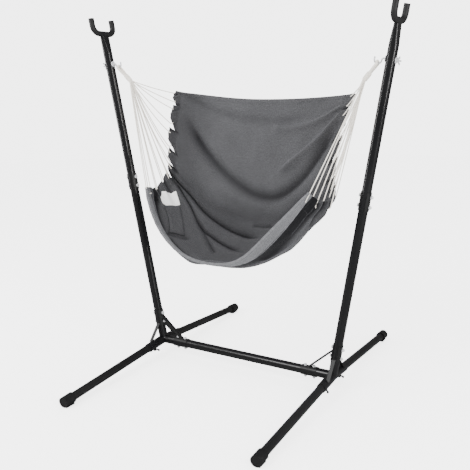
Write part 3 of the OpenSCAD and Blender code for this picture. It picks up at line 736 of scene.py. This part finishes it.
# Slow waves all over the cloth: height, size, stretch across and seed
WAVES = ((0.0030, 0.16, 1.7, 1.0), (0.0009, 0.045, 2.2, 2.0), (0.00035, 0.014, 1.6, 3.0))
PULL_HEIGHT, PULL_REACH = (0.0045, 0.0030), (0.045, 0.075)    # at the back, and what the front adds
RIB_HEIGHT, RIBS = 0.0021, 3.3                 # ribs across a sleeve, and how many to a tab
FINE_HEIGHT, FINE_REACH, FINE_RIBS = 0.0007, 0.060, 7.1
CRUMPLE_HEIGHT, CRUMPLE_SIZE, CRUMPLE_REACH = 0.0035, 0.016, (0.055, 0.085)   # in the first tab
RIGHT_PHASE = 1.7                              # keeps the two sides from being mirror images


def fading(distance, reach, power=2):
    """From 1 at no distance down to 0 well beyond the reach."""
    return np.exp(-(distance / reach) ** power)


def gathers(u, v):
    """Wrinkles that the pull of each tab makes, and ribs across its sleeve."""
    inward = np.maximum(1 - np.abs(u), 0) * ACROSS
    f = tab_place(v)
    front = np.clip((v - 0.42) / 0.15, 0, 1)
    phase = np.where(u < 0, 0.0, RIGHT_PHASE)
    bend = 0.9 * ripple(u, v, 0.10, 1.0, 4.0)
    wave = np.cos(2 * math.pi * (f + 0.12 * bend + 0.04 * phase))
    pull = (PULL_HEIGHT[0] + PULL_HEIGHT[1] * front) * wave
    pull = pull * fading(inward, PULL_REACH[0] + PULL_REACH[1] * front, 1)
    slant = 14.0 * inward + 0.55 * bend
    ribs = RIB_HEIGHT * fading(inward, SLEEVE, 4) * np.sin(2 * math.pi * (RIBS * f + slant + phase))
    turns = FINE_RIBS * f - 20.0 * inward + phase
    fine = FINE_HEIGHT * fading(inward, FINE_REACH) * np.sin(2 * math.pi * turns)
    crumple = CRUMPLE_HEIGHT * fading(inward, CRUMPLE_REACH[0]) * fading(v, CRUMPLE_REACH[1])
    return pull + ribs + fine + crumple * ripple(u, v, CRUMPLE_SIZE, 1.0, 9.0)


def fold(u, v):
    """How far the cloth lies behind its smooth surface, away from the sitter, in metres."""
    u, v = np.broadcast_arrays(np.asarray(u, float), np.asarray(v, float))
    total = sum(height * ripple(u, v, *shape) for height, *shape in WAVES)
    for one in FOLDS + OUTER_PLEATS + (INNER_GAP, OUTER_GAP):
        total = total + one[1] * profile(u, v, one)
    return total + gathers(u, v)


# Strengths of painted shade: in the sleeves, in the dents of the gathers, and on the upper left of the inner
# face where it turns from the light
SLEEVE_SHADE, DENT_SHADE, SIDE_SHADE = 0.16, 0.55, 0.34


def painted_fold_shade(u, v, inside):
    """Painted shade in the cloth's folds, gaps, gathers and sleeves, and on the upper left of the inner face,
    on one face, from 0 to 1.
    """
    creases = FOLDS if inside else OUTER_PLEATS
    total = np.zeros(u.shape)
    for one in creases:
        total = np.maximum(total, one[5] * profile(u, v, one) ** 2)
    gap = profile(u, v, INNER_GAP if inside else OUTER_GAP)
    total = np.maximum(total, ease(gap, 0.15, 0.60))
    inward = np.maximum(1 - np.abs(u), 0) * ACROSS
    dent = ease(gathers(u, v) * (1 if inside else -1), 0.0004, 0.0038)
    total = total + DENT_SHADE * dent * fading(inward, 0.050)
    total = total + SLEEVE_SHADE * (1 - ease(inward, SLEEVE, SLEEVE + 0.01))
    if inside:
        total = total + SIDE_SHADE * ease(-u, 0.35, 0.80) * (1 - ease(v, 0.45, 0.60))
    return np.clip(total, 0, 1)


def drawn_in(u, v):
    """Where the notches between the tabs draw a point of the cloth in to."""
    return u * (1 - edge_inset(v) * np.clip((np.abs(u) - NOTCH_FROM) / (1 - NOTCH_FROM), 0, 1) ** 2)


def cloth_point(u, v, offset):
    """A point of the folded cloth, offset metres away from the sitter, and the normal there."""
    u, v = np.broadcast_arrays(np.asarray(u, float), np.asarray(v, float))
    place = drawn_in(u, v)
    normal = outward(place, v)
    return hang(place, v) + normal * (fold(u, v) + offset)[..., None], normal


def half_thickness(u, v):
    """Half the thickness: sleeves stand open round their cords, and the top hem is doubled."""
    inward = np.maximum(1 - np.abs(u), 0) * ACROSS
    sleeve = np.sin(math.pi * np.clip(inward / SLEEVE, 0, 1) ** 0.8) * (inward < SLEEVE)
    hem = np.sin(math.pi * np.clip(v * DOWN / TOP_HEM, 0, 1)) * (v * DOWN < TOP_HEM)
    seam = fading(inward - SLEEVE, 0.0016) + fading(v * DOWN - TOP_HEM, 0.0014)
    return CLOTH_HALF + 0.0036 * sleeve + 0.0011 * np.abs(hem) - 0.00035 * np.clip(seam, 0, 1)


def grid_faces(rows, columns, near, far):
    """Faces of a closed sheet of two grids of points, near and far being the first index of each."""
    faces = []
    for j in range(rows - 1):
        for i in range(columns - 1):
            a = j * columns + i
            quad = (a, a + 1, a + columns + 1, a + columns)
            faces.append(tuple(far + k for k in quad))
            faces.append(tuple(near + k for k in reversed(quad)))
    top = [(i, i + 1) for i in range(columns - 1)]
    bottom = [((rows - 1) * columns + i + 1, (rows - 1) * columns + i) for i in range(columns - 1)]
    left = [((j + 1) * columns, j * columns) for j in range(rows - 1)]
    right = [((j + 1) * columns - 1, (j + 2) * columns - 1) for j in range(rows - 1)]
    for a, b in top + bottom + left + right:
        faces.append((near + a, near + b, far + b, far + a))
    return faces


def make_cloth():
    columns, tab_rows = 221, 26
    s = np.linspace(-1, 1, columns)
    s = s * (1.28 - 0.28 * s ** 2)            # closer together towards the sides
    steps = np.concatenate([[0.0, 0.02, 0.045], np.linspace(0.045, 1, tab_rows - 2)[1:]])
    v = np.unique(np.concatenate([a + steps * (b - a) for a, b in zip(TAB_ENDS, TAB_ENDS[1:])]).round(6))
    v = v[v < HEM_START + HEM_OVERLAP]
    across, down = np.meshgrid(s, v)
    half = half_thickness(across, down) * np.clip((1 - np.abs(across)) * ACROSS / 0.004, 0.25, 1.0)
    near = cloth_point(across, down, -half)[0]
    far = cloth_point(across, down, half)[0]
    points = np.concatenate([near.reshape(-1, 3), far.reshape(-1, 3)])
    cut = np.stack([drawn_in(across, down) * FLAT_WIDTH / 2, down * FLAT_LENGTH], axis=-1).reshape(-1, 2)
    # Painted shade for each face of the cloth, held in the mesh for the material to darken its colour
    dark = np.concatenate([painted_fold_shade(across, down, True).ravel(), painted_fold_shade(across, down, False).ravel()])
    faces = grid_faces(len(v), columns, 0, len(v) * columns)
    both = np.concatenate([cut, cut])
    cloth = mesh_piece("seat_cloth", points, faces, CLOTH, "hammock", both, dark)
    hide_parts("hammock_cloth")
    return cloth


HEM_STANDS = np.array((0.0, -0.004, 0.026))      # how far the free edge of the hem stands up on the right
HEM_STANDS_AT, HEM_STANDS_REACH = 0.66, 0.30     # where along the hem, and over how much of it, as u


def make_hem():
    """The doubled band along the front edge, rolled over at its free edge."""
    columns, around = 241, 30
    s = np.linspace(-1, 1, columns)
    start, end = HEM_START - 0.002, 1.0
    turn = np.linspace(0, 2 * math.pi, around, endpoint=False)
    share = 0.5 - 0.5 * np.cos(turn)
    puff = 0.0006 + 0.0042 * np.abs(np.sin(turn)) ** 0.75 * (0.35 + 0.65 * share)
    u, b = np.meshgrid(s, share, indexing="ij")
    v = start + (end - start) * b
    roll = 0.0035 * fading(b - 0.97, 0.12)
    wrinkle = 0.0006 * ripple(u, v, 0.018, 0.7, 6.0)
    seam = -0.0011 * fading(b - 0.50, 0.035)
    thick = (puff[None, :] + roll + seam) * np.sign(np.sin(turn) + 1e-9)[None, :]
    place = hang(u, v) + outward(u, v) * (0.55 * fold(u, v) + thick + wrinkle)[..., None]
    place += HEM_STANDS * (b * fading(u - HEM_STANDS_AT, HEM_STANDS_REACH))[..., None]
    cut = np.stack([u * FLAT_WIDTH / 2, v * FLAT_LENGTH], axis=-1).reshape(-1, 2)
    points = place.reshape(-1, 3)
    hem = mesh_piece("front_hem_band", points, ring_faces(columns, around), LIT_HEM_CLOTH, "hammock",
                     cut, np.zeros(len(points)))
    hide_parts("front_hem")
    return hem


def corner_blend(corners, a, b):
    """(u, v) inside a four-cornered patch: a runs from right to left and b from its top to its bottom."""
    tr, tl, br, bl = (np.array(c) for c in corners)
    a, b = a[..., None], b[..., None]
    uv = (1 - b) * ((1 - a) * tr + a * tl) + b * ((1 - a) * br + a * bl)
    return uv[..., 0], uv[..., 1]


def patch(name, corners, size, thick, lift, puff, painted_edge_shade, material, slot, node):
    """A flat piece sewn on the inner face of the cloth, raised a little between its seams."""
    n = 41
    a, b = np.meshgrid(np.linspace(0, 1, n), np.linspace(0, 1, n))
    u, v = corner_blend(corners, a, b)
    bulge = np.clip(np.minimum(np.minimum(a, 1 - a), np.minimum(b + 0.4, 1 - b)) / 0.14, 0, 1)
    rise = lift + puff * bulge * bulge * (3 - 2 * bulge)
    wave = 0.0008 * ripple(u, v, 0.03, 1.0, 12.0) * bulge
    skin = -CLOTH_HALF - rise - wave
    far = cloth_point(u, v, skin)[0]
    near = cloth_point(u, v, skin - thick)[0]
    points = np.concatenate([near.reshape(-1, 3), far.reshape(-1, 3)])
    cut = np.stack([a * size[0], b * size[1]], axis=-1).reshape(-1, 2)
    # Painted shade along the rim of the patch, fading over 4.5 mm inwards
    rim = np.minimum(np.minimum(a, 1 - a) * size[0], np.minimum(b + 1, 1 - b) * size[1])
    shade = np.tile((painted_edge_shade * (1 - ease(rim, 0.0, 0.0045))).ravel(), 2)
    faces = [tuple(reversed(f)) for f in grid_faces(n, n, 0, n * n)]
    piece = mesh_piece(name, points, faces, material, "hammock", np.concatenate([cut, cut]), shade)
    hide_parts(node)
    return piece


POCKET_CORNERS = ((-0.785, 0.640), (-0.885, 0.775), (-0.610, 0.760), (-0.675, 0.875))
LABEL_CORNERS = ((-0.865, 0.585), (-0.968, 0.750), (-0.790, 0.632), (-0.893, 0.785))
POCKET_SIZE = (0.105, 0.115)
LABEL_SIZE = (0.105, 0.048)


THREAD_HALF, THREAD_HEIGHT = 0.00055, 0.00048
THREAD_FACES = ((0, 1, 2), (5, 4, 3), (0, 2, 5, 3), (2, 1, 4, 5), (1, 0, 3, 4))


def stitches(name, rows):
    """Short raised threads. Each row is (points, normals): one thread between every second pair of points."""
    points, faces = [], []
    for line, normals in rows:
        for p, q, n in zip(line[0::2], line[1::2], normals[0::2]):
            side = np.cross(unit(q - p), n) * THREAD_HALF
            top = n * THREAD_HEIGHT
            faces += [tuple(len(points) + k for k in face) for face in THREAD_FACES]
            points += [p - side, p + side, p + top, q - side, q + side, q + top]
    # The threads are darkened evenly for a darker thread tone, through the same value that carries painted
    # shade
    shade = np.full(len(points), 0.15)
    return mesh_piece(name, points, faces, CLOTH, "hammock", np.zeros((len(points), 2)), shade)


def seam_row(u, v, lift):
    """Points and normals of a seam along (u, v), on the face towards the sitter if lift is below zero."""
    sign = math.copysign(1.0, lift)
    points, normal = cloth_point(u, v, sign * half_thickness(u, v) + lift)
    return points, normal * sign


def make_stitches():
    rows = []
    for sign in (-1, 1):
        lift = sign * 0.0001
        v = np.linspace(0.005, HEM_START - 0.01, 330)
        for edge in (-1, 1):
            rows.append(seam_row(np.full(v.shape, edge * (1 - (SLEEVE - 0.001) / ACROSS)), v, lift))
        u = np.linspace(-0.9, 0.9, 420)
        rows.append(seam_row(u, np.full(u.shape, (TOP_HEM - 0.001) / DOWN), lift))
    return stitches("seam_stitches", rows)


finish_stand()
SIDES = ((-1, "left"), (1, "right"))
for side, word in SIDES:
    make_whipping(side, word)
    make_eye_loop(side, word)
    for tab in range(TABS):
        make_tab_cord(side, word, tab)
cloth = make_cloth()
hem = make_hem()
# 0.85 is the painted shade along the pocket's rim
pocket = patch("pocket_cloth", POCKET_CORNERS, POCKET_SIZE, 0.0012, 0.0016, 0.0022, 0.85, CLOTH, "cloth",
               "seat_pocket")
label = patch("label_tape", LABEL_CORNERS, LABEL_SIZE, 0.0004, 0.0018, 0.0016, 0.0,
              LABEL, "label", "care_label")
seams = make_stitches()
